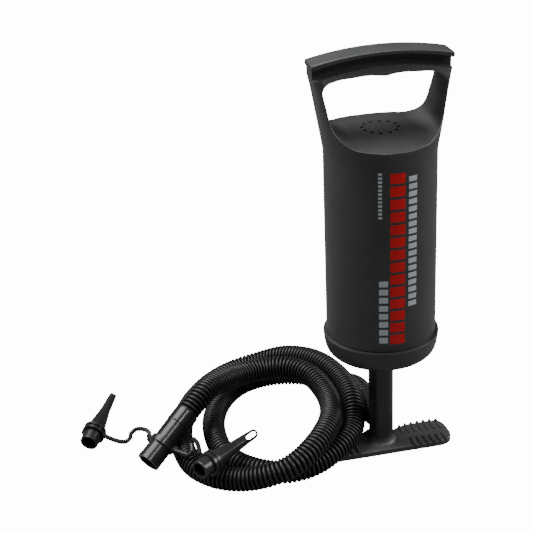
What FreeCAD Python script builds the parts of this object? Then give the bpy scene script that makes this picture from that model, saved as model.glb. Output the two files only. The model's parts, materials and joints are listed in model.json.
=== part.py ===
import FreeCAD, Part
import math
import os

# Double-action hand air pump. Millimetres, +Z up.
# The origin is on the rod's axis at the underside of the foot plate, X runs along the grip and the foot.

BARREL_R = 47.4
BORE_R = 44.9
BARREL_BOTTOM = 114.5
BARREL_STRAIGHT_TOP = 284.5
TOP_WALL = 303.5
TOP_WALL_UNDERSIDE = 298.3
GRIP_HALF_DEPTH = 12.0

ROD_R = 11.0
ROD_BORE_R = 8.4

FOOT_HALF_LENGTH = 63.8
FOOT_FRONT = -20.5
FOOT_BACK = 15.8
FOOT_THICK = 5.2

PORT_Z = 20.0
PUMP_CUFF_START = 15.0
PUMP_CUFF_END = 48.0
PUMP_CUFF_R = 11.2

PISTON_BOTTOM = 212.0
PISTON_R = 44.1
SEAL_R = 44.85
DISC_THICK = 1.2

HOSE_R = 10.5
HOSE_BORE_R = 9.0
CUFF_BORE_R = 8.2
HOSE_ROUTE = [
    (0, 48, 20), (0, 70, 20), (-6, 94, 15), (-24, 116, 10.6), (-51, 130, 10.6), (-82, 132, 10.6),
    (-110, 120, 10.6), (-131, 96, 10.6), (-144, 67, 10.6), (-149, 35, 10.6), (-145, 4, 10.6),
    (-129, -23, 10.6), (-103, -39, 10.6), (-73, -38, 12), (-46, -22, 18), (-26, 0, 20),
    (-18.5, 25, 31.5), (-17, 50, 34), (-20, 75, 34), (-28, 98, 35), (-38, 119, 33), (-53, 138, 26),
    (-73, 152, 15), (-98, 150, 10.6), (-123, 135, 10.6), (-146, 113, 10.6), (-164, 85, 10.6),
    (-175, 55, 10.6), (-178, 23, 10.6), (-172, -6, 10.6), (-157, -30, 10.6), (-136, -45, 13),
    (-113, -55, 20), (-89, -56, 28), (-67, -40, 36), (-50, -11, 37), (-41, 19, 33), (-38, 48, 31),
    (-44, 75, 34), (-61, 95, 34), (-86, 105, 33), (-112, 96, 35), (-131, 77, 43),
    (-146, 61, 48.5), (-157.9, 45.4, 48.1), (-171, 36, 40),
]

NOZZLE_START = (-171.0, 36.0, 40.0)
NOZZLE_MOUTH = (-213.0, 6.0, 14.0)
CUFF_LENGTH = 34.0
RING_LENGTH = 5.0
RING_R = 12.2

ADAPTER_LEFT = ((-260.0, 62.0, 8.3), (-227.0, 124.0, 22.3))
ADAPTER_RIGHT = ((-175.2, -47.4, 33.0), (-119.3, -4.8, 33.2))
STRAP_R = 2.1
HINGE_LINE = (0.8137, 0.5812, 0.0)
KNUCKLE_R = 2.4
KNUCKLE_HALF = 3.0
TIP_SLOT_LINE = (0.16, 0.83, -0.53)
STRAP_LEFT = [
    (-206.2, 29.1, 23.5), (-207.5, 36, 22), (-205, 47, 18), (-206, 60, 13.5), (-210, 70, 10), (-215, 77, 6),
    (-220, 75, 3.5), (-221, 68, 2.8), (-227, 62, 2.8), (-236, 64, 5.5), (-245.5, 67.6, 10.4),
]
STRAP_RIGHT = [
    (-188.9, 4.9, 23.5), (-184, -2, 24), (-178, -9, 24.5), (-174.5, -8, 27.5), (-174, 0, 31), (-172, 0, 35),
    (-170.5, -11, 38), (-170.8, -22, 39.5), (-171.5, -32.5, 38.5),
]

V = FreeCAD.Vector


def tube(r_in, r_out, z0, z1):
    outer = Part.makeCylinder(r_out, z1 - z0, V(0, 0, z0))
    if r_in <= 0:
        return outer
    return outer.cut(Part.makeCylinder(r_in, z1 - z0 + 2, V(0, 0, z0 - 1)))


def revolved(points):
    wire = Part.makePolygon([V(r, 0, z) for r, z in points + points[:1]])
    return Part.Face(wire).revolve(V(0, 0, 0), V(0, 0, 1), 360)


def ring_of_holes(radius, count, hole_r, z0, z1, start=0.0):
    holes = []
    for i in range(count):
        a = math.radians(start + 360.0 * i / count)
        holes.append(Part.makeCylinder(hole_r, z1 - z0, V(radius * math.cos(a), radius * math.sin(a), z0)))
    return Part.makeCompound(holes)


def aligned(shape, start, end):
    """Turns a shape built along +Z from the origin so that it runs from start towards end."""
    direction = V(*end) - V(*start)
    turned = shape.copy()
    turned.Placement = FreeCAD.Placement(V(*start), FreeCAD.Rotation(V(0, 0, 1), direction))
    return turned


def path_wire(points):
    """Straight runs joined by tangent arcs. Returns the wire and the radius of each arc."""
    pts = [V(*p) for p in points]
    edges = []
    radii = []
    here = pts[0]
    for i in range(1, len(pts) - 1):
        into = pts[i] - pts[i - 1]
        away = pts[i + 1] - pts[i]
        half = into.getAngle(away) / 2.0
        reach = 0.45 * min(into.Length, away.Length)
        into.normalize()
        away.normalize()
        a = pts[i] - into * reach
        b = pts[i] + away * reach
        inward = away - into
        inward.normalize()
        radius = reach / math.tan(half)
        middle = pts[i] + inward * (radius / math.cos(half) - radius)
        edges.append(Part.LineSegment(here, a).toShape())
        edges.append(Part.Arc(a, middle, b).toShape())
        radii.append(radius)
        here = b
    edges.append(Part.LineSegment(here, pts[-1]).toShape())
    return Part.Wire(edges), radii


def round_wire(radius, centre, axis):
    return Part.Wire(Part.makeCircle(radius, centre, axis))


def swept_round(points, radius):
    wire, radii = path_wire(points)
    along = V(*points[1]) - V(*points[0])
    profile = round_wire(radius, V(*points[0]), along)
    return wire.makePipeShell([profile], True, False)


def swept_tube(points, outer_r, inner_r):
    """Hollow tube along a route, its two walls closed by a flat ring at each end."""
    wire, radii = path_wire(points)
    first = V(*points[0])
    last = V(*points[-1])
    along = V(*points[1]) - first
    away = last - V(*points[-2])
    faces = []
    for radius in (outer_r, inner_r):
        faces += wire.makePipeShell([round_wire(radius, first, along)], False, False).Faces
    for centre, axis in ((first, along), (last, away)):
        faces.append(Part.Face([round_wire(outer_r, centre, axis), round_wire(inner_r, centre, axis)]))
    shell = Part.makeShell(faces)
    shell.sewShape()
    solid = Part.makeSolid(shell)
    solid.fix(1e-4, 1e-4, 1e-4)
    return solid, radii, wire.Length


def rounded_section(half_x, half_y, corner, z):
    """Closed rounded rectangle of four lines and four arcs at one height."""
    r = min(corner, half_x - 0.02, half_y - 0.02)
    cx = half_x - r
    cy = half_y - r
    k = r * math.sqrt(0.5)
    edges = []
    corners = [(1, 1), (-1, 1), (-1, -1), (1, -1)]
    for sx, sy in corners:
        first = V(sx * half_x, sy * cy, z)
        second = V(sx * cx, sy * half_y, z)
        middle = V(sx * (cx + k), sy * (cy + k), z)
        if sx * sy < 0:
            first, second = second, first
        edges.append(Part.Arc(first, middle, second).toShape())
    closed = []
    for i in range(4):
        a = edges[i].Vertexes[-1].Point
        b = edges[(i + 1) % 4].Vertexes[0].Point
        closed.append(edges[i])
        closed.append(Part.LineSegment(a, b).toShape())
    return Part.Wire(closed)


def arch_z(x, crown, radius):
    return crown - (radius - math.sqrt(radius * radius - x * x))


def arch_solid(x_half, low, high, half_depth):
    """Bar between two arcs in the XZ plane, extruded across the grip."""
    low_edge = Part.Arc(V(-x_half, 0, low(x_half)), V(0, 0, low(0)), V(x_half, 0, low(x_half))).toShape()
    high_edge = Part.Arc(V(x_half, 0, high(x_half)), V(0, 0, high(0)), V(-x_half, 0, high(x_half))).toShape()
    ends = [
        Part.LineSegment(V(x_half, 0, low(x_half)), V(x_half, 0, high(x_half))).toShape(),
        Part.LineSegment(V(-x_half, 0, high(x_half)), V(-x_half, 0, low(x_half))).toShape(),
    ]
    face = Part.Face(Part.Wire([low_edge, ends[0], high_edge, ends[1]]))
    bar = face.extrude(V(0, 2 * half_depth, 0))
    bar.translate(V(0, -half_depth, 0))
    return bar


def slab_top(x):
    return arch_z(x, 370.0, 266.0)


def slab_bottom(x):
    return arch_z(x, 366.1, 235.0)


def lip_top(x):
    return arch_z(x, 357.7, 232.0)


def finger_gap_wire(y, drop):
    """Outline of the hand opening at one depth. The floor of the opening is lowered by drop."""
    floor = TOP_WALL - drop
    side = [
        (26.0, floor), (35.6, floor + 1.1), (42.7, floor + 5.6), (46.7, floor + 13.4), (49.2, 328.0),
        (50.9, 336.5), (51.8, 342.5),
    ]
    roof = [(49.2, 347.3), (43.0, 349.6), (35.0, 350.9), (28.0, 351.1), (21.0, 351.6), (14.0, 351.8), (7.0, 351.3)]
    right = [V(x, y, z) for x, z in side]
    right_roof = [V(x, y, z) for x, z in side[-1:] + roof]
    left_roof = [V(-p.x, y, p.z) for p in reversed(right_roof)]
    over = right_roof + [V(0, y, 350.5)] + left_roof
    left = [V(-p.x, y, p.z) for p in reversed(right)]
    edges = []
    for points in (right, over, left):
        curve = Part.BSplineCurve()
        curve.interpolate(points)
        edges.append(curve.toShape())
    edges.append(Part.LineSegment(left[-1], right[0]).toShape())
    return Part.Wire(edges)


def finger_gap():
    wires = []
    for y in (-64.0, -46.0, -23.0, 0.0, 23.0, 46.0, 64.0):
        fall = 310.0 if y < 0 else 600.0
        wires.append(finger_gap_wire(y, y * y / fall))
    return Part.makeLoft(wires, True, False)


def handle_body():
    """Barrel's outside: round below, flattened and widened into the two legs of the handle."""
    sections = [
        (BARREL_R, BARREL_R, BARREL_R, BARREL_STRAIGHT_TOP), (47.9, 47.3, 46.7, 290.0), (49.1, 46.1, 44.5, 298.0),
        (50.7, 40.8, 37.0, 309.0), (52.9, 31.4, 26.0, 322.0), (55.5, 21.6, 15.0, 337.0),
        (58.0, 15.0, 7.0, 350.0), (59.5, 12.8, 3.0, 361.0),
    ]
    wires = [rounded_section(a, b, r, z) for a, b, r, z in sections]
    return Part.makeLoft(wires, True, False)


def barrel_shell():
    base = Part.Face(rounded_section(BARREL_R, BARREL_R, BARREL_R, BARREL_STRAIGHT_TOP))
    outside = base.extrude(V(0, 0, BARREL_BOTTOM - BARREL_STRAIGHT_TOP))
    above_lip = arch_solid(70.0, lip_top, lambda x: arch_z(x, 400.0, 400.0), 70.0)
    body = outside.fuse(handle_body().cut(above_lip)).cut(finger_gap())
    inside = revolved([
        (0, BARREL_BOTTOM - 5), (BORE_R, BARREL_BOTTOM - 5), (BORE_R, 289.0), (31.0, TOP_WALL_UNDERSIDE),
        (0, TOP_WALL_UNDERSIDE),
    ])
    body = body.cut(inside)
    boss = tube(1.5, 4.5, 294.3, TOP_WALL_UNDERSIDE + 1.0).cut(Part.makeCylinder(1.5, 8, V(0, 0, 294)))
    body = body.fuse(boss).cut(Part.makeCylinder(1.5, 7.0, V(0, 0, 294.0)))
    body = body.cut(ring_of_holes(14.84, 12, 1.65, 290.0, 310.0, 15.0)).removeSplitter()
    return softened(body, 0.6, on_front_rim)


def on_front_rim(edge):
    """The free-form edges along the front of the finger opening's saddle."""
    free_form = edge.Curve.TypeId == "Part::GeomBSplineCurve"
    in_front = edge.CenterOfMass.y < -20 and edge.CenterOfMass.z > 296
    return free_form and in_front and edge.BoundBox.DiagonalLength > 6.5


def softened(shape, radius, chosen):
    edges = [e for e in shape.Edges if chosen(e)]
    return shape.makeFillet(radius, edges)


def grip_cover():
    slab = arch_solid(59.5, slab_bottom, slab_top, GRIP_HALF_DEPTH)
    slab = softened(slab, 1.8, lambda e: abs(e.CenterOfMass.x) > 59.0 and e.BoundBox.YLength < 0.1)
    slab = softened(slab, 1.3, lambda e: e.BoundBox.YLength > 0.1 or e.BoundBox.XLength > 1.0)
    web = arch_solid(58.0, lip_top, slab_bottom, 8.9)
    web.translate(V(0, 2.6, 0))
    return slab.fuse(web).removeSplitter()


def bottom_cap():
    profile = [
        (15.05, 97.0), (36.5, 97.0), (39.0, 97.4), (41.2, 98.2), (43.1, 99.2), (44.8, 100.5), (46.2, 101.9),
        (47.3, 103.5), (48.2, 105.6), (48.9, 108.2), (49.5, 111.6), (49.9, 114.6), (50.2, 117.4), (50.2, 118.6),
        (50.0, 119.0), (47.55, 119.0), (47.55, 113.0), (44.6, 113.0), (44.2, 108.0), (43.0, 104.4),
        (40.6, 101.8), (37.6, 100.4), (34.0, 100.0), (15.05, 100.0),
    ]
    cap = revolved(profile)
    return cap.cut(ring_of_holes(27.2, 10, 1.6, 96.0, 101.0))


def guide_retainer():
    skirt = tube(18.3, 23.0, 100.0, 103.3)
    plate = tube(15.3, 32.0, 103.3, 105.3)
    return skirt.fuse(plate).cut(ring_of_holes(27.5, 10, 1.6, 103.0, 106.0)).removeSplitter()


def rod_guide():
    body = tube(ROD_R + 0.05, 15.0, 97.3, 107.3)
    flange = tube(14.0, 18.0, 100.3, 102.6)
    groove = tube(ROD_R - 1, 12.9, 103.0, 105.2)
    return body.fuse(flange).cut(groove).removeSplitter()


def label_panel():
    shell = tube(BARREL_R + 0.02, BARREL_R + 0.25, 124.0, 284.0)
    reach = 120.0
    left = math.radians(-22.0)
    right = math.radians(29.0)
    wedge = Part.Face(Part.makePolygon([
        V(0, 0, 120), V(reach * math.sin(left), -reach * math.cos(left), 120),
        V(reach * math.sin(right), -reach * math.cos(right), 120), V(0, 0, 120),
    ])).extrude(V(0, 0, 170))
    return shell.common(wedge)


def valve_disc(r_in, r_out, z):
    return tube(r_in, r_out, z, z + DISC_THICK)


def intake_cage():
    plate = tube(1.5, 23.0, 292.0, 294.3)
    rim = tube(21.6, 23.0, 294.3, 297.6)
    slots = ring_of_holes(13.5, 8, 3.2, 291.0, 295.0, 22.5)
    return plate.fuse(rim).cut(slots).removeSplitter()


def screw(x, y, z_tip, z_seat, z_head, shank_r, head_r):
    """Cross-slotted screw standing along Z, its head towards z_head."""
    shank = Part.makeCylinder(shank_r, abs(z_seat - z_tip), V(x, y, min(z_tip, z_seat)))
    head = Part.makeCylinder(head_r, abs(z_head - z_seat), V(x, y, min(z_head, z_seat)))
    depth = 0.5 * abs(z_head - z_seat)
    z_slot = z_head - depth if z_head > z_seat else z_head
    slot_a = Part.makeBox(2 * 0.7 * head_r, 0.7, depth, V(x - 0.7 * head_r, y - 0.35, z_slot))
    slot_b = Part.makeBox(0.7, 2 * 0.7 * head_r, depth, V(x - 0.35, y - 0.7 * head_r, z_slot))
    return shank.fuse(head).removeSplitter().cut(slot_a.fuse(slot_b))


def piston_screws():
    screws = []
    for i in range(4):
        a = math.radians(45 + 90 * i)
        x = 38.0 * math.cos(a)
        y = 38.0 * math.sin(a)
        base = PISTON_BOTTOM
        screws.append(screw(x, y, base + 2.5, base + 16.0, base + 17.8, 1.3, 2.5))
    return Part.makeCompound(screws)


def piston_screw_holes():
    base = PISTON_BOTTOM
    shank = ring_of_holes(38.0, 4, 1.35, base + 2.5, base + 19.0, 45.0)
    head = ring_of_holes(38.0, 4, 2.7, base + 16.0, base + 19.0, 45.0)
    return shank.fuse(head)


def piston_lower():
    base = PISTON_BOTTOM
    body = tube(ROD_R, PISTON_R, base, base + 3).fuse(tube(35.0, PISTON_R, base + 3, base + 9))
    body = body.fuse(tube(ROD_R, 14.2, base + 3, base + 9))
    body = body.fuse(ring_of_holes(30.5, 6, 1.8, base + 3, base + 8.2, 0.0))
    body = body.cut(ring_of_holes(21.5, 8, 3.0, base - 1, base + 4))
    body = body.cut(tube(41.0, PISTON_R + 1, base + 4.0, base + 7.0))
    return body.cut(piston_screw_holes()).removeSplitter()


def piston_upper():
    base = PISTON_BOTTOM
    body = tube(35.0, PISTON_R, base + 9, base + 15.5).fuse(tube(0, PISTON_R, base + 15.5, base + 18))
    body = body.cut(ring_of_holes(25.0, 8, 3.2, base + 15, base + 19))
    body = body.cut(tube(41.0, PISTON_R + 1, base + 10.5, base + 13.5))
    return body.cut(piston_screw_holes()).removeSplitter()


def piston_rod():
    base = PISTON_BOTTOM
    rod = tube(0, ROD_R, 0.0, base + 9.0)
    flange = tube(0, 17.0, 0.0, 3.6)
    spigot = Part.makeCylinder(8.0, 27.0, V(0, 7.0, PORT_Z), V(0, 1, 0))
    body = rod.fuse(flange).fuse(spigot)
    body = body.cut(Part.makeCylinder(ROD_BORE_R, base + 9.0 - 6.0, V(0, 0, 6.0)))
    body = body.cut(Part.makeCylinder(5.6, 30.0, V(0, 5.0, PORT_Z), V(0, 1, 0)))
    groove = Part.makeCylinder(8.5, 2.2, V(0, 23.0, PORT_Z), V(0, 1, 0))
    groove = groove.cut(Part.makeCylinder(6.9, 2.2, V(0, 23.0, PORT_Z), V(0, 1, 0)))
    body = body.cut(groove)
    body = body.cut(ring_of_holes(14.0, 4, 2.3, -1.0, 2.0, 45.0))
    return body.cut(ring_of_holes(14.0, 4, 1.05, 1.0, 4.5, 45.0)).removeSplitter()


def port_oring():
    ring = Part.makeCylinder(8.03, 2.0, V(0, 23.1, PORT_Z), V(0, 1, 0))
    return ring.cut(Part.makeCylinder(6.9, 3.0, V(0, 22.9, PORT_Z), V(0, 1, 0)))


def foot_outline():
    """Two pads joined by a narrower waist: rounded outer corners and a hollow rear edge."""
    right = [
        (0, 12.4), (8.0, 11.6), (15.5, 11.2), (21.0, 13.6), (27.0, 15.2), (40.0, FOOT_BACK), (52.0, FOOT_BACK),
        (58.0, 14.6), (61.9, 10.6), (63.4, 4.0), (FOOT_HALF_LENGTH, -4.0), (62.9, -11.0), (60.2, -16.2),
        (55.0, -19.4), (48.0, FOOT_FRONT),
    ]
    curve = Part.BSplineCurve()
    left = [(-x, y) for x, y in reversed(right)]
    curve.interpolate([V(x, y, 0) for x, y in left[:-1] + right])
    front = Part.LineSegment(V(right[-1][0], right[-1][1], 0), V(left[0][0], left[0][1], 0)).toShape()
    return Part.Wire([curve.toShape(), front])


def foot_ribs():
    ribs = []
    rows = [(6, 25.9, -26.0, -8.2), (7, 21.5, 0.6, 21.0)]
    for side in (-1, 1):
        for count, first, near, far in rows:
            for i in range(count):
                x = side * (first + 6.0 * i)
                rib = Part.makeBox(2.6, far - near, 3.0, V(x - 1.3, near, FOOT_THICK - 1.6))
                ribs.append(rib.makeFillet(1.0, [e for e in rib.Edges if e.CenterOfMass.z > FOOT_THICK + 1.3]))
    return ribs


def base_collar():
    """Flared collar on the foot round the rod's base."""
    top = ROD_R + 0.35
    flare = Part.Arc(V(13.9, 0, FOOT_THICK), V(12.1, 0, FOOT_THICK + 2.2), V(top, 0, FOOT_THICK + 6.2)).toShape()
    corners = [(top, FOOT_THICK + 6.2), (ROD_R + 0.05, FOOT_THICK + 6.2), (ROD_R + 0.05, 3.2), (18.9, 3.2)]
    corners += [(18.9, FOOT_THICK - 0.8), (18.1, FOOT_THICK), (13.9, FOOT_THICK)]
    edges = [flare]
    for a, b in zip(corners, corners[1:]):
        edges.append(Part.LineSegment(V(a[0], 0, a[1]), V(b[0], 0, b[1])).toShape())
    return Part.Face(Part.Wire(edges)).revolve(V(0, 0, 0), V(0, 0, 1), 360)


def foot_plate():
    plate = Part.Face(foot_outline()).extrude(V(0, 0, FOOT_THICK))
    reach = Part.Face(foot_outline()).extrude(V(0, 0, 2 * FOOT_THICK))
    ribs = [rib.common(reach) for rib in foot_ribs()]
    plate = softened(plate, 1.4, lambda e: e.BoundBox.ZMin > FOOT_THICK - 0.1)
    plate = plate.fuse([base_collar()] + ribs)
    plate = plate.cut(Part.makeCylinder(ROD_R + 0.05, 20, V(0, 0, -5)))
    plate = plate.cut(Part.makeCylinder(17.1, 8.6, V(0, 0, -5)))
    return plate.cut(ring_of_holes(14.0, 4, 1.0, 3.0, 4.9, 45.0)).removeSplitter()


def foot_screws():
    screws = []
    for i in range(4):
        a = math.radians(45 + 90 * i)
        screws.append(screw(14.0 * math.cos(a), 14.0 * math.sin(a), 4.8, 2.0, 0.7, 0.95, 2.1))
    return Part.makeCompound(screws)


def pump_cuff():
    length = PUMP_CUFF_END - PUMP_CUFF_START
    profile = [(8.05, 0), (10.9, 0), (11.4, 0.8), (11.4, 4.0), (PUMP_CUFF_R, 4.6), (10.9, length), (8.05, length)]
    return aligned(revolved(profile), (0, PUMP_CUFF_START, PORT_Z), (0, PUMP_CUFF_END, PORT_Z))


def nozzle_cuff():
    length = CUFF_LENGTH
    profile = [
        (CUFF_BORE_R, 0.08), (11.0, 0.08), (11.15, 0.8), (11.15, 14.0), (10.8, 15.0), (10.4, length), (8.3, length),
        (8.3, 14.0), (CUFF_BORE_R, 13.0),
    ]
    return aligned(revolved(profile), NOZZLE_START, NOZZLE_MOUTH)


def nozzle_large():
    full = (V(*NOZZLE_MOUTH) - V(*NOZZLE_START)).Length
    ring = CUFF_LENGTH
    profile = [
        (6.0, 16.0), (8.25, 16.0), (8.25, ring + 0.02), (RING_R, ring + 0.02), (RING_R, ring + RING_LENGTH),
        (10.9, ring + RING_LENGTH), (10.5, ring + RING_LENGTH + 1.5), (10.8, full), (8.6, full),
        (8.6, ring + RING_LENGTH), (6.0, ring + RING_LENGTH - 3.0),
    ]
    return aligned(revolved(profile), NOZZLE_START, NOZZLE_MOUTH)


def adapter_outline(length, mid_r, tip_r, open_end):
    """Half section of an adapter: mouth, collar and a long tapering spout."""
    mid = 0.62 * length
    mouth = [(6.4, 0), (8.0, 0), (8.3, 0.8), (8.6, 15.0), (10.9, 15.0), (10.9, 17.6), (8.3, 17.6), (8.1, 20.0)]
    spout = [(mid_r, mid), (tip_r, length)]
    bore = [(tip_r - 1.3, length)] if open_end else [(0, length), (0, length - 7.5), (tip_r - 1.2, length - 7.5)]
    return mouth + spout + bore + [(mid_r - 1.4, mid), (6.3, 20.0)]


def adapter_left():
    start, end = ADAPTER_LEFT
    length = (V(*end) - V(*start)).Length
    body = revolved(adapter_outline(length, 4.6, 3.1, True))
    cutter = Part.makeBox(30, 30, 30, V(-15, -15, 0))
    cutter.Placement = FreeCAD.Placement(V(0, 0, length - 3.6), FreeCAD.Rotation(V(1, 0, 0), 42.0))
    return aligned(body.cut(cutter), start, end)


def adapter_right():
    start, end = ADAPTER_RIGHT
    length = (V(*end) - V(*start)).Length
    along = (V(*end) - V(*start)).normalize()
    body = revolved(adapter_outline(length, 5.5, 4.3, False))
    body = aligned(body.fuse(Part.makeSphere(4.3, V(0, 0, length))), start, end)
    line = V(*TIP_SLOT_LINE)
    across = along.cross(line).normalize()
    outline = []
    for reach, side in ((0.6, 2.0), (-6.6, 2.0), (-6.6, -2.0), (0.6, -2.0), (0.6, 2.0)):
        outline.append(V(*end) + along * reach + across * side - line * 15.0)
    slot = Part.Face(Part.makePolygon(outline)).extrude(line * 30.0)
    for reach in (0.6, -6.6):
        slot = slot.fuse(Part.makeCylinder(2.0, 30.0, V(*end) + along * reach - line * 15.0, line))
    return body.cut(slot).removeSplitter()


def strap(points, adapter):
    """Bendy strap from a knuckle beside the nozzle's collar to a loop round the adapter's neck."""
    start, end = adapter
    body = swept_round(points, STRAP_R)
    line = V(*HINGE_LINE)
    knuckle = Part.makeCylinder(KNUCKLE_R, 2 * KNUCKLE_HALF, V(*points[0]) - line * KNUCKLE_HALF, line)
    loop = aligned(tube(8.75, 10.9, 10.5, 13.8), start, end)
    clear = aligned(Part.makeCylinder(8.75, 6.6, V(0, 0, 8.0)), start, end)
    return body.fuse([loop, knuckle]).cut(clear).removeSplitter()


def hose():
    tube_solid, radii, length = swept_tube(HOSE_ROUTE, HOSE_R, HOSE_BORE_R)
    print("hose length %.1f" % length, "arc radii", [round(r) for r in radii])
    section = math.pi * (HOSE_R * HOSE_R - HOSE_BORE_R * HOSE_BORE_R)
    print("hose volume over section times length %.5f" % (tube_solid.Volume / (section * length)))
    return tube_solid


def cap_gasket():
    return tube(44.8, 47.3, 113.0, BARREL_BOTTOM)


def rod_seal():
    return tube(ROD_R + 0.03, 12.8, 103.1, 105.1)


NODES = {
    "foot_plate": foot_plate,
    "foot_screws": foot_screws,
    "piston_rod": piston_rod,
    "port_oring": port_oring,
    "hose_pump_cuff": pump_cuff,
    "hose": hose,
    "hose_nozzle_cuff": nozzle_cuff,
    "nozzle_large": nozzle_large,
    "tether_left": lambda: strap(STRAP_LEFT, ADAPTER_LEFT),
    "adapter_left": adapter_left,
    "tether_right": lambda: strap(STRAP_RIGHT, ADAPTER_RIGHT),
    "adapter_right": adapter_right,
    "piston_lower": piston_lower,
    "piston_upper": piston_upper,
    "piston_screws": piston_screws,
    "seal_lower": lambda: tube(41.1, SEAL_R, PISTON_BOTTOM + 4.15, PISTON_BOTTOM + 6.85),
    "seal_upper": lambda: tube(41.1, SEAL_R, PISTON_BOTTOM + 10.65, PISTON_BOTTOM + 13.35),
    "piston_disc_lower": lambda: valve_disc(16.0, 27.0, PISTON_BOTTOM + 3.3),
    "piston_disc_upper": lambda: valve_disc(16.0, 33.0, PISTON_BOTTOM + 8.5 + 0.3),
    "rod_guide": rod_guide,
    "rod_seal": rod_seal,
    "barrel_shell": barrel_shell,
    "grip_cover": grip_cover,
    "barrel_label": label_panel,
    "bottom_cap": bottom_cap,
    "cap_gasket": cap_gasket,
    "guide_retainer": guide_retainer,
    "intake_cage": intake_cage,
    "intake_cage_screw": lambda: screw(0, 0, 300.6, 292.0, 290.2, 1.45, 3.0),
    "intake_disc": lambda: valve_disc(6.0, 20.0, 294.6),
    "cap_disc": lambda: valve_disc(24.2, 30.2, 100.3),
}

os.makedirs("parts", exist_ok=True)
for name, make in NODES.items():
    shape = make()
    shape.exportStep("parts/%s.step" % name)
    print("%-20s solids %d valid %s volume %.0f" % (name, len(shape.Solids), shape.isValid(), shape.Volume))
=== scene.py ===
import json
import math

import bmesh
import bpy
from mathutils import Matrix, Vector


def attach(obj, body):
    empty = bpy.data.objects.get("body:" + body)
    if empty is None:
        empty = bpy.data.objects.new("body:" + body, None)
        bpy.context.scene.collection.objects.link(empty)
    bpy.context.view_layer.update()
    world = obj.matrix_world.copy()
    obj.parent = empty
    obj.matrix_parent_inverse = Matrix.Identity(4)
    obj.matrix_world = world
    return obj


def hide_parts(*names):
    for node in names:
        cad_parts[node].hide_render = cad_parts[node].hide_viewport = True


MM = 0.001

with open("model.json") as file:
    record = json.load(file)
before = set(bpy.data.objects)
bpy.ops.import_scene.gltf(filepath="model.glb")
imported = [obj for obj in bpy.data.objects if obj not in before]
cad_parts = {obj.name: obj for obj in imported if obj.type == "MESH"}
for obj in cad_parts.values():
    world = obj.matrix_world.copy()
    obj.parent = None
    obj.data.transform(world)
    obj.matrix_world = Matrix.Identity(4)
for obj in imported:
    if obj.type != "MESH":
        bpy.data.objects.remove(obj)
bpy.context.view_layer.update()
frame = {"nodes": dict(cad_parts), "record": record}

# ------------------------------------------------------------------ camera

CAMERA_DISTANCE = 1023.0
CAMERA_HEIGHT = 658.2
CAMERA_AZIMUTH = math.radians(-17.356)
CAMERA_YAW = math.radians(5.469)
CAMERA_PITCH = math.radians(25.059)
CAMERA_ROLL = math.radians(-2.497)
CAMERA_LENS = 88.81


def make_camera():
    """Camera at a place given by its distance, height and azimuth, turned by yaw, pitch and roll."""
    az, yaw, pitch, roll = CAMERA_AZIMUTH, CAMERA_YAW, CAMERA_PITCH, CAMERA_ROLL
    ahead = Vector((-math.sin(az), math.cos(az), 0))
    right = Vector((math.cos(az), math.sin(az), 0))
    turned = math.cos(yaw) * ahead - math.sin(yaw) * right
    side = math.cos(yaw) * right + math.sin(yaw) * ahead
    look = math.cos(pitch) * turned + Vector((0, 0, -math.sin(pitch)))
    up = math.sin(pitch) * turned + Vector((0, 0, math.cos(pitch)))
    x_axis = math.cos(roll) * side + math.sin(roll) * up
    y_axis = -math.sin(roll) * side + math.cos(roll) * up
    data = bpy.data.cameras.new("camera")
    data.sensor_width = 36.0
    data.lens = CAMERA_LENS
    data.clip_start = 0.05
    data.clip_end = 50.0
    camera = bpy.data.objects.new("camera", data)
    bpy.context.scene.collection.objects.link(camera)
    spot = Vector((CAMERA_DISTANCE * math.sin(az), -CAMERA_DISTANCE * math.cos(az), CAMERA_HEIGHT)) * MM
    rows = Matrix((x_axis, y_axis, -look)).transposed()
    camera.matrix_world = Matrix.Translation(spot) @ rows.to_4x4()
    bpy.context.scene.camera = camera


make_camera()

# --------------------------------------------------------------- materials


def nodes_of(name, base, roughness, specular=0.5):
    """A new material with its node tree and its shader."""
    mat = bpy.data.materials.new(name)
    mat.use_nodes = True
    tree = mat.node_tree
    shader = tree.nodes["Principled BSDF"]
    shader.inputs["Base Color"].default_value = (*base, 1)
    shader.inputs["Roughness"].default_value = roughness
    shader.inputs["Specular IOR Level"].default_value = specular
    return mat, tree, shader


def texture_coords(tree):
    """The object's own coordinates, in metres."""
    return tree.nodes.new("ShaderNodeTexCoord").outputs["Object"]


def noise(tree, vector, scale, detail=4.0, rough=0.6):
    node = tree.nodes.new("ShaderNodeTexNoise")
    node.inputs["Scale"].default_value = scale
    node.inputs["Detail"].default_value = detail
    node.inputs["Roughness"].default_value = rough
    tree.links.new(vector, node.inputs["Vector"])
    return node.outputs["Fac"]


def ramp(tree, value, stops):
    node = tree.nodes.new("ShaderNodeValToRGB")
    elements = node.color_ramp.elements
    elements[0].position, elements[0].color = stops[0][0], (*stops[0][1], 1)
    elements[1].position, elements[1].color = stops[-1][0], (*stops[-1][1], 1)
    for place, colour in stops[1:-1]:
        elements.new(place).color = (*colour, 1)
    tree.links.new(value, node.inputs["Fac"])
    return node.outputs["Color"]


def to_range(tree, value, low, high):
    node = tree.nodes.new("ShaderNodeMapRange")
    node.inputs["To Min"].default_value = low
    node.inputs["To Max"].default_value = high
    tree.links.new(value, node.inputs["Value"])
    return node.outputs["Result"]


def bump(tree, shader, height, strength, distance):
    node = tree.nodes.new("ShaderNodeBump")
    node.inputs["Strength"].default_value = strength
    node.inputs["Distance"].default_value = distance
    tree.links.new(height, node.inputs["Height"])
    tree.links.new(node.outputs["Normal"], shader.inputs["Normal"])


# Texture scales per metre, and how far the gloss wanders either side of a material's roughness.
CLOUD_SCALE = 22.0
SMUDGE_SCALE = 60.0
GLOSSIER = 0.05
DULLER = 0.07


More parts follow.
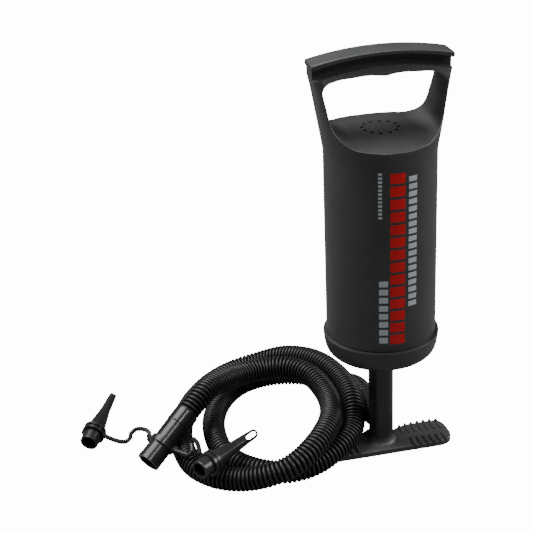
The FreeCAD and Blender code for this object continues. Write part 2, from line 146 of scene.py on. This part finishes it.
def moulded(name, base, roughness, grain, depth, strength=0.35, vary=0.25, specular=0.5):
    """Moulded plastic: a fine spark-eroded grain, slight cloudiness of colour and of gloss."""
    mat, tree, shader = nodes_of(name, base, roughness, specular)
    vector = texture_coords(tree)
    cloud = noise(tree, vector, CLOUD_SCALE, 3.0)
    dark = tuple(c * (1 - vary) for c in base)
    light = tuple(c * (1 + vary) for c in base)
    tree.links.new(ramp(tree, cloud, [(0.3, dark), (0.7, light)]), shader.inputs["Base Color"])
    smudge = noise(tree, vector, SMUDGE_SCALE, 6.0)
    gloss = to_range(tree, smudge, roughness - GLOSSIER, roughness + DULLER)
    tree.links.new(gloss, shader.inputs["Roughness"])
    bump(tree, shader, noise(tree, vector, grain, 2.0), strength, depth)
    return mat


BODY = moulded("barrel_black", (0.0150, 0.0154, 0.0148), 0.46, grain=1400.0, depth=0.00005)
GRIP = moulded("grip_black", (0.0190, 0.0200, 0.0208), 0.48, grain=1200.0, depth=0.00007)
FOOT = moulded("foot_black", (0.0260, 0.0265, 0.0265), 0.50, grain=1300.0, depth=0.00006)
ROD = moulded("rod_black", (0.0085, 0.0087, 0.0088), 0.33, grain=500.0, depth=0.00003)
HOSE = moulded("hose_black", (0.0135, 0.0135, 0.0128), 0.34, grain=500.0, depth=0.00002, vary=0.15,
                specular=0.22)
# Near-black groove colour: painted shade down in the hose's grooves.
HOSE_GROOVE_SHADE = moulded("hose_groove_painted_shade", (0.0016, 0.0014, 0.0009), 0.60, grain=500.0, depth=0.00002, vary=0.15,
                       specular=0.05)
CUFF = moulded("cuff_black", (0.0110, 0.0113, 0.0115), 0.24, grain=500.0, depth=0.00001, strength=0.2,
                specular=0.26)
NOZZLE = moulded("nozzle_black", (0.0130, 0.0134, 0.0136), 0.27, grain=500.0, depth=0.00001, strength=0.2,
                  specular=0.26)
RUBBER = moulded("seal_rubber", (0.0200, 0.0200, 0.0200), 0.65, grain=700.0, depth=0.00008)
INNER = moulded("inner_plastic", (0.42, 0.42, 0.40), 0.45, grain=600.0, depth=0.00003, vary=0.04)
LABEL = moulded("label_black", (0.0150, 0.0152, 0.0155), 0.40, grain=1400.0, depth=0.00003)
STEEL = moulded("screw_steel", (0.52, 0.52, 0.53), 0.30, grain=800.0, depth=0.00004, vary=0.08)
STEEL.node_tree.nodes["Principled BSDF"].inputs["Metallic"].default_value = 1.0

SLOT_MATERIAL = {
    "body_plastic": BODY,
    "grip_plastic": GRIP,
    "foot_plastic": FOOT,
    "rod_plastic": ROD,
    "hose_plastic": HOSE,
    "cuff_plastic": CUFF,
    "nozzle_plastic": NOZZLE,
    "seal_rubber": RUBBER,
    "inner_plastic": INNER,
    "label_film": LABEL,
    "screw_steel": STEEL,
}


def dress_cad_nodes():
    slot_of = {s["node"]: s["material_slot"] for s in frame["record"]["subparts"]}
    for name, obj in frame["nodes"].items():
        obj.data.materials.clear()
        obj.data.materials.append(SLOT_MATERIAL[slot_of[name]])


dress_cad_nodes()

# ------------------------------------------------------------- mesh helpers


def new_object(name, mesh, material, smooth=True):
    obj = bpy.data.objects.new(name, mesh)
    bpy.context.scene.collection.objects.link(obj)
    mesh.materials.append(material)
    for face in mesh.polygons:
        face.use_smooth = smooth
    return obj


def frames_along(points):
    """Unit tangents and a twist-free pair of normals along a line of points."""
    tangents = []
    for i in range(len(points)):
        a = points[max(i - 1, 0)]
        b = points[min(i + 1, len(points) - 1)]
        tangents.append((b - a).normalized())
    normal = tangents[0].orthogonal().normalized()
    sides = []
    for t in tangents:
        normal = (normal - t * normal.dot(t)).normalized()
        sides.append((normal.copy(), t.cross(normal).normalized()))
    return tangents, sides


def resampled(points, step):
    """Points a fixed step apart along a line of points, and the line's length."""
    lengths = [0.0]
    for a, b in zip(points, points[1:]):
        lengths.append(lengths[-1] + (b - a).length)
    total = lengths[-1]
    count = int(round(total / step))
    out = []
    i = 0
    for k in range(count + 1):
        want = total * k / count
        while i < len(lengths) - 2 and lengths[i + 1] < want:
            i += 1
        share = (want - lengths[i]) / max(lengths[i + 1] - lengths[i], 1e-9)
        out.append(points[i].lerp(points[i + 1], min(max(share, 0.0), 1.0)))
    return out, total


def tube_mesh(name, points, radius_at, sides_count):
    """Skin of rings along a line of points. radius_at gives the radius of ring number i."""
    tangents, sides = frames_along(points)
    verts = []
    faces = []
    for i, p in enumerate(points):
        r = radius_at(i)
        for k in range(sides_count):
            a = 2 * math.pi * k / sides_count
            verts.append(p + (sides[i][0] * math.cos(a) + sides[i][1] * math.sin(a)) * r)
    for i in range(len(points) - 1):
        for k in range(sides_count):
            k2 = (k + 1) % sides_count
            low = i * sides_count
            high = low + sides_count
            faces.append((low + k, low + k2, high + k2, high + k))
    faces.append(tuple(reversed(range(sides_count))))
    faces.append(tuple(range(len(verts) - sides_count, len(verts))))
    mesh = bpy.data.meshes.new(name)
    mesh.from_pydata([tuple(v) for v in verts], [], faces)
    mesh.update()
    return mesh


# --------------------------------------------------------------------- hose

HOSE_RADIUS = 10.6 * MM
HOSE_VALLEY = 1.7 * MM
RIDGE_PITCH = 3.8 * MM
RINGS_PER_RIDGE = 8
RIDGE_SHARPNESS = 0.9
HOSE_SIDES = 32
# Bands of faces, counted along one ridge from groove to groove, that lie down in the groove; they get a
# near-black material as painted shade in the grooves.
SHADED_GROOVE_BANDS = (0, 1, 6, 7)
# Control points in metres, from the pump's outlet to the cuff of the nozzle.
HOSE_ROUTE = [
    (0, 0.048, 0.020), (0, 0.070, 0.020), (-0.009, 0.091, 0.0135), (-0.026, 0.114, 0.0106),
    (-0.051, 0.128, 0.0106), (-0.082, 0.132, 0.0106), (-0.110, 0.121, 0.0106),
    (-0.1305, 0.096, 0.0106), (-0.143, 0.067, 0.0106), (-0.1475, 0.035, 0.0106),
    (-0.145, 0.004, 0.0106), (-0.129, -0.023, 0.0106), (-0.103, -0.039, 0.0106),
    (-0.073, -0.038, 0.012), (-0.045, -0.0225, 0.018), (-0.025, -0.0005, 0.020),
    (-0.0188, 0.025, 0.0317), (-0.0175, 0.050, 0.034), (-0.0207, 0.0753, 0.0342),
    (-0.029, 0.0985, 0.0352), (-0.040, 0.119, 0.0322), (-0.0565, 0.139, 0.0262),
    (-0.077, 0.1515, 0.0165), (-0.1015, 0.154, 0.0106), (-0.127, 0.139, 0.0106),
    (-0.149, 0.115, 0.0106), (-0.166, 0.086, 0.0106), (-0.176, 0.055, 0.0106),
    (-0.179, 0.023, 0.0106), (-0.175, -0.007, 0.0106), (-0.1585, -0.0295, 0.0106),
    (-0.137, -0.0435, 0.013), (-0.1145, -0.0535, 0.0203), (-0.091, -0.0542, 0.0287),
    (-0.0685, -0.0388, 0.0367), (-0.0497, -0.0105, 0.0373), (-0.0404, 0.0197, 0.0337),
    (-0.0384, 0.0488, 0.0328), (-0.045, 0.076, 0.037), (-0.062, 0.096, 0.0375),
    (-0.087, 0.105, 0.0345), (-0.112, 0.097, 0.036), (-0.131, 0.077, 0.043),
    (-0.146, 0.061, 0.0485), (-0.1579, 0.0454, 0.0481), (-0.171, 0.036, 0.040),
]


def spline_points(route, name):
    """Points along the smooth line that a route's control points draw."""
    curve = bpy.data.curves.new(name, "CURVE")
    curve.dimensions = "3D"
    spline = curve.splines.new("NURBS")
    spline.points.add(len(route) - 1)
    for point, place in zip(spline.points, route):
        point.co = (*place, 1)
    spline.order_u = 3
    spline.use_endpoint_u = True
    spline.resolution_u = 16
    helper = bpy.data.objects.new(name, curve)
    mesh = bpy.data.meshes.new_from_object(helper)
    points = [v.co.copy() for v in mesh.vertices]
    bpy.data.objects.remove(helper)
    bpy.data.curves.remove(curve)
    bpy.data.meshes.remove(mesh)
    return points


def make_hose():
    """Corrugated skin along the route, with dull grooves painted near-black as shade between glossier
    ridges.
    """
    line = spline_points(HOSE_ROUTE, "hose_line")
    points, length = resampled(line, RIDGE_PITCH / RINGS_PER_RIDGE)

    def radius_at(i):
        bulge = math.sin(math.pi * (i % RINGS_PER_RIDGE) / RINGS_PER_RIDGE) ** RIDGE_SHARPNESS
        return HOSE_RADIUS - HOSE_VALLEY * (1 - bulge)

    mesh = tube_mesh("hose_corrugated", points, radius_at, HOSE_SIDES)
    hose = new_object("hose_corrugated", mesh, HOSE)
    # The groove bands get the near-black material: painted shade between the ridges.
    mesh.materials.append(HOSE_GROOVE_SHADE)
    for face in mesh.polygons:
        if (face.index // HOSE_SIDES) % RINGS_PER_RIDGE in SHADED_GROOVE_BANDS:
            face.material_index = 1
    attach(hose, "root")
    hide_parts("hose")
    return hose, points, length


hose_piece, hose_points, hose_length = make_hose()
print("hose length", round(hose_length, 4))

# -------------------------------------------------------------- label bars

# Outer radius of the label film and thickness of the bars printed on it, in millimetres.
LABEL_R = 47.4 + 0.25
BAR_LIFT = 0.005
BAR_THICK = 0.06
PATCH_STEP_DEGREES = 1.5


def curved_patch(bm, left, right, low, high, radius, skin):
    """Thin curved plate on the barrel, between two angles from the front and two heights."""
    steps = max(2, int((right - left) / PATCH_STEP_DEGREES))
    rings = []
    for r in (radius, radius + skin):
        row = []
        for z in (low, high):
            line = []
            for k in range(steps + 1):
                a = math.radians(left + (right - left) * k / steps)
                line.append(bm.verts.new((r * math.sin(a) * MM, -r * math.cos(a) * MM, z * MM)))
            row.append(line)
        rings.append(row)
    inner, outer = rings
    for k in range(steps):
        bm.faces.new((outer[0][k], outer[0][k + 1], outer[1][k + 1], outer[1][k]))
        bm.faces.new((inner[0][k + 1], inner[0][k], inner[1][k], inner[1][k + 1]))
        bm.faces.new((inner[0][k], inner[0][k + 1], outer[0][k + 1], outer[0][k]))
        bm.faces.new((outer[1][k], outer[1][k + 1], inner[1][k + 1], inner[1][k]))
    for k in (0, steps):
        order = (inner[0][k], outer[0][k], outer[1][k], inner[1][k])
        bm.faces.new(order if k == steps else tuple(reversed(order)))


def make_bars(name, bars, material):
    """One piece of several bars, each given by two angles in degrees and two heights in millimetres."""
    bm = bmesh.new()
    for left, right, low, high in bars:
        curved_patch(bm, left, right, low, high, LABEL_R + BAR_LIFT, BAR_THICK)
    bmesh.ops.recalc_face_normals(bm, faces=bm.faces)
    mesh = bpy.data.meshes.new(name)
    bm.to_mesh(mesh)
    bm.free()
    obj = new_object(name, mesh, material, smooth=False)
    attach(obj, "barrel")
    return obj


def column(left, right, low, high, count, gap):
    """Blocks of equal height, one above the other, in one column."""
    pitch = (high - low + gap) / count
    return [(left, right, low + i * pitch, low + (i + 1) * pitch - gap) for i in range(count)]


RED = moulded("label_red", (0.36, 0.003, 0.006), 0.45, grain=1000.0, depth=0.00002, vary=0.10,
              specular=0.25)
GREY = moulded("label_grey", (0.26, 0.29, 0.31), 0.42, grain=1000.0, depth=0.00002, vary=0.06)

make_bars("label_red_bars", column(-7.8, 7.6, 127.0, 280.0, 14, 2.4), RED)
make_bars(
    "label_grey_bars",
    column(11.3, 20.8, 160.5, 276.0, 18, 2.0)
    + column(-19.4, -15.6, 241.5, 281.0, 12, 1.3)
    + column(-18.9, -9.8, 128.3, 186.0, 8, 2.2),
    GREY,
)

# -------------------------------------------------------- floor and lights


FLOOR_GLOW = 14.0
FLOOR_HALF_SIZE = 6.0
FLOOR_DROP = 0.0004


def make_floor():
    """White ground that the camera sees evenly bright and that lights the object as a grey one."""
    mesh = bpy.data.meshes.new("floor")
    s = FLOOR_HALF_SIZE
    mesh.from_pydata([(-s, -s, 0), (s, -s, 0), (s, s, 0), (-s, s, 0)], [], [(0, 1, 2, 3)])
    floor = bpy.data.objects.new("floor", mesh)
    bpy.context.scene.collection.objects.link(floor)
    mat, tree, shader = nodes_of("floor_white", (0.15, 0.15, 0.15), 0.9, specular=0.1)
    glow = tree.nodes.new("ShaderNodeEmission")
    glow.inputs["Color"].default_value = (1.0, 1.0, 0.99, 1)
    glow.inputs["Strength"].default_value = FLOOR_GLOW
    rays = tree.nodes.new("ShaderNodeLightPath")
    mix = tree.nodes.new("ShaderNodeMixShader")
    tree.links.new(rays.outputs["Is Camera Ray"], mix.inputs["Fac"])
    tree.links.new(shader.outputs["BSDF"], mix.inputs[1])
    tree.links.new(glow.outputs["Emission"], mix.inputs[2])
    tree.links.new(mix.outputs["Shader"], tree.nodes["Material Output"].inputs["Surface"])
    mesh.materials.append(mat)
    floor.location.z = -FLOOR_DROP


def area_light(name, place, aim, size, power):
    """Square lamp at a place, in metres, turned towards a point. Its power is in watts."""
    data = bpy.data.lights.new(name, "AREA")
    data.energy = power
    data.size = size
    light = bpy.data.objects.new(name, data)
    light.location = place
    light.rotation_euler = (Vector(aim) - Vector(place)).to_track_quat("-Z", "Y").to_euler()
    bpy.context.scene.collection.objects.link(light)


def make_lights():
    """Faint even surroundings, two side lamps, a large one overhead and a small one for glints."""
    world = bpy.data.worlds.new("studio")
    bpy.context.scene.world = world
    world.use_nodes = True
    world.node_tree.nodes["Background"].inputs["Color"].default_value = (1, 1, 1, 1)
    world.node_tree.nodes["Background"].inputs["Strength"].default_value = 0.05
    area_light("left", (-1.65, 0.42, 0.85), (0, 0, 0.2), 0.8, 10)
    area_light("right", (1.50, -0.30, 1.10), (0, 0, 0.2), 1.0, 42)
    area_light("top", (-0.65, 0.40, 1.80), (-0.05, 0, 0.25), 1.4, 88)
    area_light("glint", (0.22, -0.86, 1.42), (-0.15, 0.02, 0.03), 0.22, 8)


make_floor()
make_lights()
